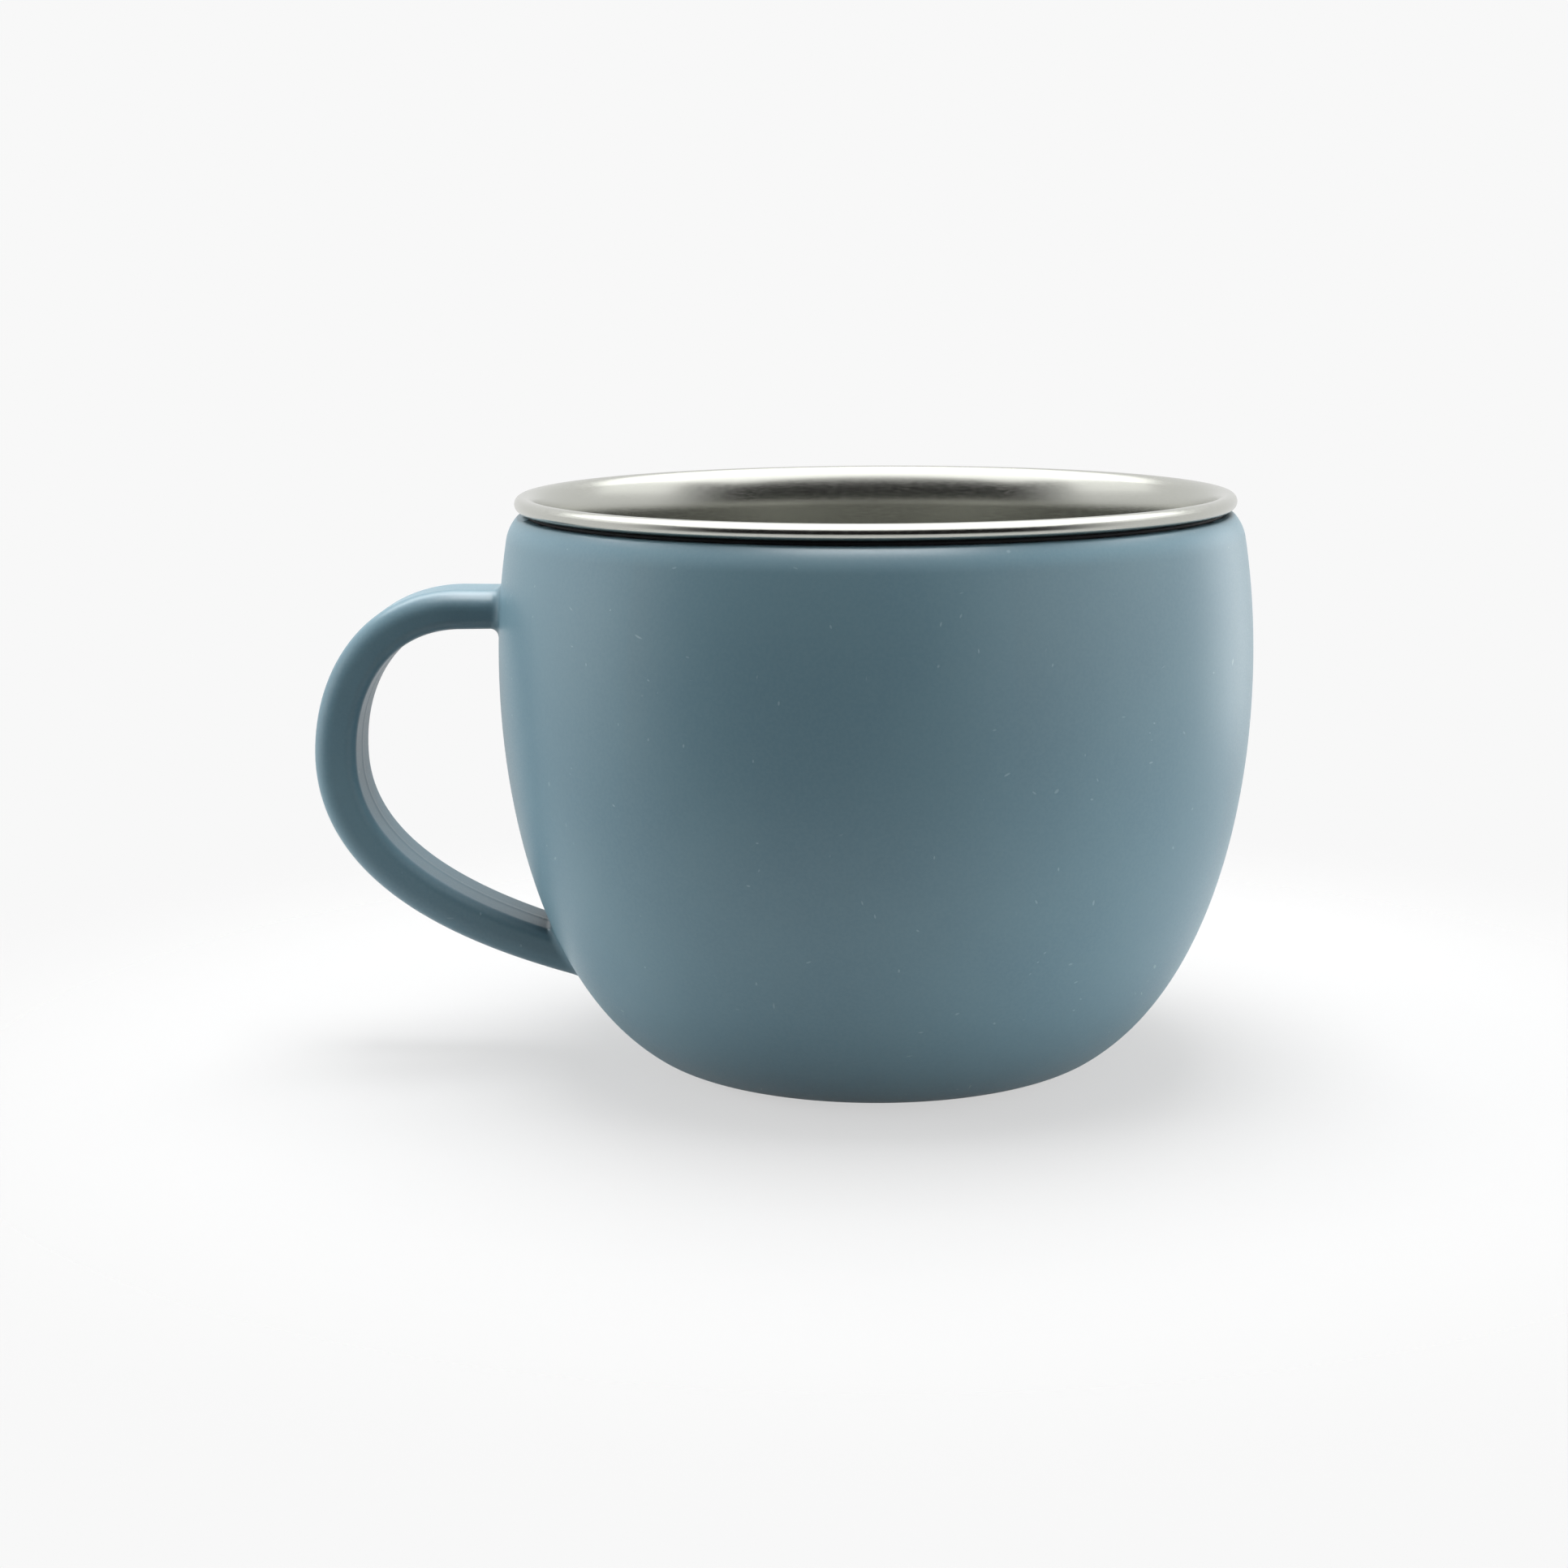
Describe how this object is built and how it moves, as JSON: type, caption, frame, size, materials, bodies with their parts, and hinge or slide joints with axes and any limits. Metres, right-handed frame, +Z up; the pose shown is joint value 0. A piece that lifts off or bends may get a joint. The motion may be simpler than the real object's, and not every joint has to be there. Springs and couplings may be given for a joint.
{
  "type": "baby cup",
  "caption": "Small rounded mug for a child: a drawn steel cup with a rolled rim lifts out of a matte moulded shell with a loop handle.",
  "frame": {"origin": "centre of the flat foot, on the mug's axis", "axes": "+Z up along the mug's axis; the handle points along -X; the picture looks along +Y"},
  "size_m": [0.1052, 0.0842, 0.064],
  "materials": {
    "shell": "soft matte blue-grey moulding",
    "steel": "satin stainless steel",
    "seal": "matte black silicone"
  },
  "bodies": {
    "shell": {"outer_shell": "shell"},
    "cup": {"inner_cup": "steel", "rim_seal": "seal"}
  },
  "joints": [
    {"name": "cup_lift", "type": "slide", "parent": "shell", "child": "cup", "axis": [0, 0, 1], "range_m": [0, 0.065]}
  ]
}
